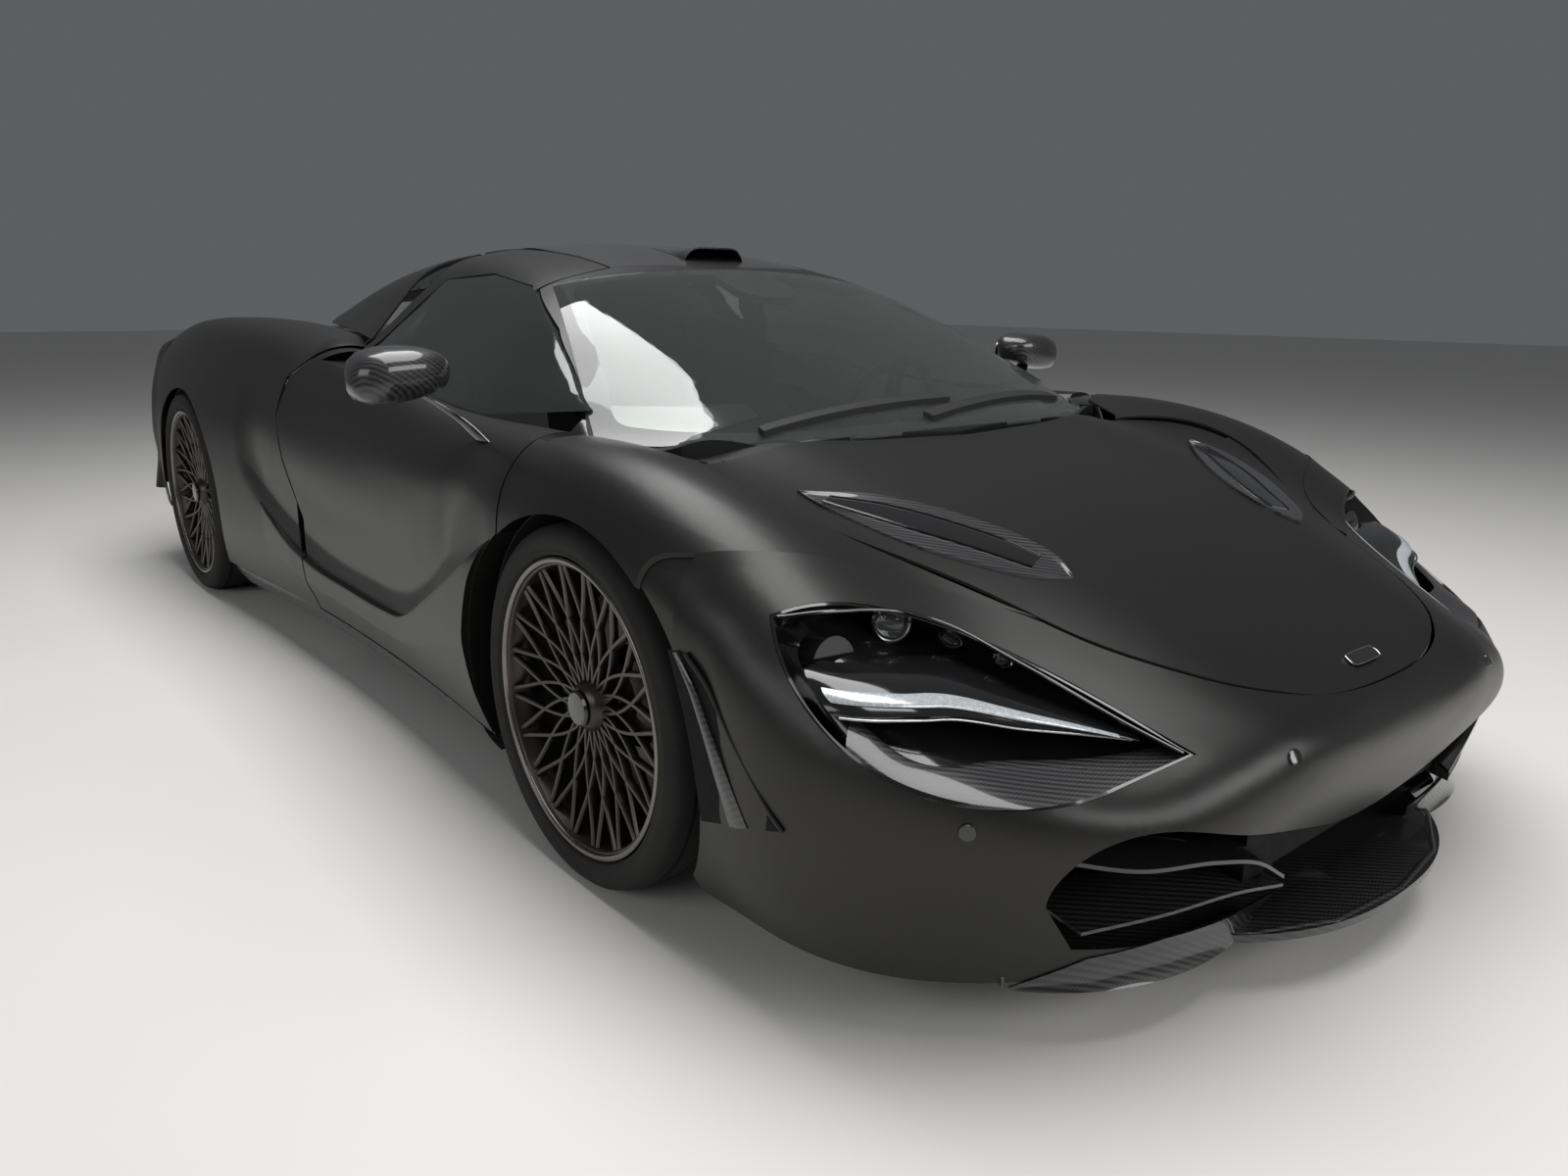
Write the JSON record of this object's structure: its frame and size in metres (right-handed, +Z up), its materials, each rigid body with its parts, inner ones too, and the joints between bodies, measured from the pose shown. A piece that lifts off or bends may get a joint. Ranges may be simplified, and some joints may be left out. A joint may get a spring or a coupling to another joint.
{
  "type": "supercar",
  "caption": "Low mid-engined sports coupe with upward-opening doors, an opening bonnet, a tilting rear wing, steered front wheels and rolling wheels.",
  "frame": {"origin": "ground level at the middle of the car's overall length and width", "axes": "+Z up, nose towards -Y, the car's left towards +X"},
  "size_m": [2.16, 4.5406, 1.1783],
  "materials": {
    "satin_black": "satin",
    "carbon": "clear-coated woven carbon fibre",
    "tub_carbon": "moulded carbon fibre",
    "gloss_black": "gloss black",
    "glass": "tinted",
    "tyre": "matt",
    "wheel_satin": "dark satin",
    "metal": "machined",
    "aluminium": "extruded and cast",
    "liner": "moulded",
    "trim": "suede and leather",
    "lamp_red": "tinted lens"
  },
  "bodies": {
    "chassis": {"arch_liners": "liner", "cabin_frame": "satin_black", "dashboard": "trim", "engine_block": "aluminium", "engine_deck": "satin_black", "exhaust_tips": "metal", "front_bumper": "satin_black", "front_fender_left": "satin_black", "front_fender_right": "satin_black", "front_splitter": "carbon", "front_subframe": "aluminium", "front_wishbones": "metal", "headlamp_left": "gloss_black", "headlamp_right": "gloss_black", "luggage_tub": "liner", "monocoque": "tub_carbon", "rear_canopy": "satin_black", "rear_diffuser": "carbon", "rear_fascia": "satin_black", "rear_quarter_left": "satin_black", "rear_quarter_right": "satin_black", "rear_subframe": "aluminium", "rear_suspension": "metal", "rear_window": "glass", "roof_panel": "carbon", "seats": "trim", "side_skirts": "carbon", "tail_lamps": "lamp_red", "windscreen": "glass", "wipers": "carbon"},
    "bonnet": {"bonnet": "satin_black"},
    "door_left": {"door_left": "satin_black", "side_window_left": "glass", "mirror_left": "carbon"},
    "door_right": {"door_right": "satin_black", "side_window_right": "glass", "mirror_right": "carbon"},
    "rear_wing": {"rear_wing": "satin_black"},
    "steering_left": {"front_knuckle_left": "metal"},
    "steering_right": {"front_knuckle_right": "metal"},
    "front_wheel_left": {"front_rim_left": "wheel_satin", "front_tyre_left": "tyre"},
    "front_wheel_right": {"front_rim_right": "wheel_satin", "front_tyre_right": "tyre"},
    "rear_wheel_left": {"rear_rim_left": "wheel_satin", "rear_tyre_left": "tyre"},
    "rear_wheel_right": {"rear_rim_right": "wheel_satin", "rear_tyre_right": "tyre"},
    "steering_wheel": {"steering_wheel": "trim"}
  },
  "joints": [
    {"name": "bonnet_hinge", "type": "hinge", "parent": "chassis", "child": "bonnet", "pos_m": [0, -1.19, 0.722], "axis": [-1, 0, 0], "range_deg": [0, 55]},
    {"name": "door_hinge_left", "type": "hinge", "parent": "chassis", "child": "door_left", "pos_m": [0.876, -1.145, 0.85], "axis": [0.03, -0.5461, -0.8372], "range_deg": [0, 72]},
    {"name": "door_hinge_right", "type": "hinge", "parent": "chassis", "child": "door_right", "pos_m": [-0.876, -1.145, 0.85], "axis": [0.03, 0.5461, 0.8372], "range_deg": [0, 72]},
    {"name": "rear_wing_hinge", "type": "hinge", "parent": "chassis", "child": "rear_wing", "pos_m": [0, 1.972, 0.858], "axis": [1, 0, 0], "range_deg": [0, 35]},
    {"name": "steer_left", "type": "hinge", "parent": "chassis", "child": "steering_left", "pos_m": [0.758, -1.227, 0.328], "axis": [0, 0, 1], "range_deg": [-32, 32]},
    {"name": "steer_right", "type": "hinge", "parent": "chassis", "child": "steering_right", "pos_m": [-0.758, -1.227, 0.328], "axis": [0, 0, 1], "range_deg": [-32, 32]},
    {"name": "spin_front_left", "type": "hinge", "parent": "steering_left", "child": "front_wheel_left", "pos_m": [0.82, -1.227, 0.328], "axis": [1, 0, 0], "continuous": true},
    {"name": "spin_front_right", "type": "hinge", "parent": "steering_right", "child": "front_wheel_right", "pos_m": [-0.82, -1.227, 0.328], "axis": [1, 0, 0], "continuous": true},
    {"name": "spin_rear_left", "type": "hinge", "parent": "chassis", "child": "rear_wheel_left", "pos_m": [0.803, 1.443, 0.345], "axis": [1, 0, 0], "continuous": true},
    {"name": "spin_rear_right", "type": "hinge", "parent": "chassis", "child": "rear_wheel_right", "pos_m": [-0.803, 1.443, 0.345], "axis": [1, 0, 0], "continuous": true},
    {"name": "steering_wheel_turn", "type": "hinge", "parent": "chassis", "child": "steering_wheel", "pos_m": [0.38, -0.6514, 0.7046], "axis": [0, 0.9404, 0.3401], "range_deg": [-460, 460]}
  ],
  "couplings": [
    {"joint": "steer_right", "follows": "steer_left", "ratio": 1},
    {"joint": "steering_wheel_turn", "follows": "steer_left", "ratio": 14}
  ]
}
